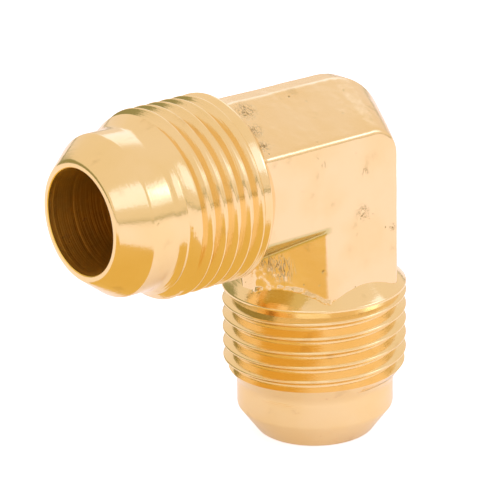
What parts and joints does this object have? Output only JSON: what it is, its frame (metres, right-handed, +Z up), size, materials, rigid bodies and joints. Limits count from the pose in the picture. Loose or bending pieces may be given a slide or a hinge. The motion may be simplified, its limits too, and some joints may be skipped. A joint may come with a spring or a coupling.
{
  "type": "flare union elbow",
  "caption": "Right-angle brass pipe elbow with male flare ends: hexagonal forged body, threaded collars, coned noses and a drilled waterway.",
  "frame": {"origin": "where the axes of the two ends cross, inside the elbow", "axes": "the lower end points along -Z, the side end along -X, and the front and back flats face -Y and +Y; +Z is up"},
  "size_m": [0.0451, 0.0222, 0.0451],
  "materials": {
    "brass": "bright machined and polished forged brass"
  },
  "bodies": {
    "root": {"elbow_body": "brass"}
  },
  "joints": []
}
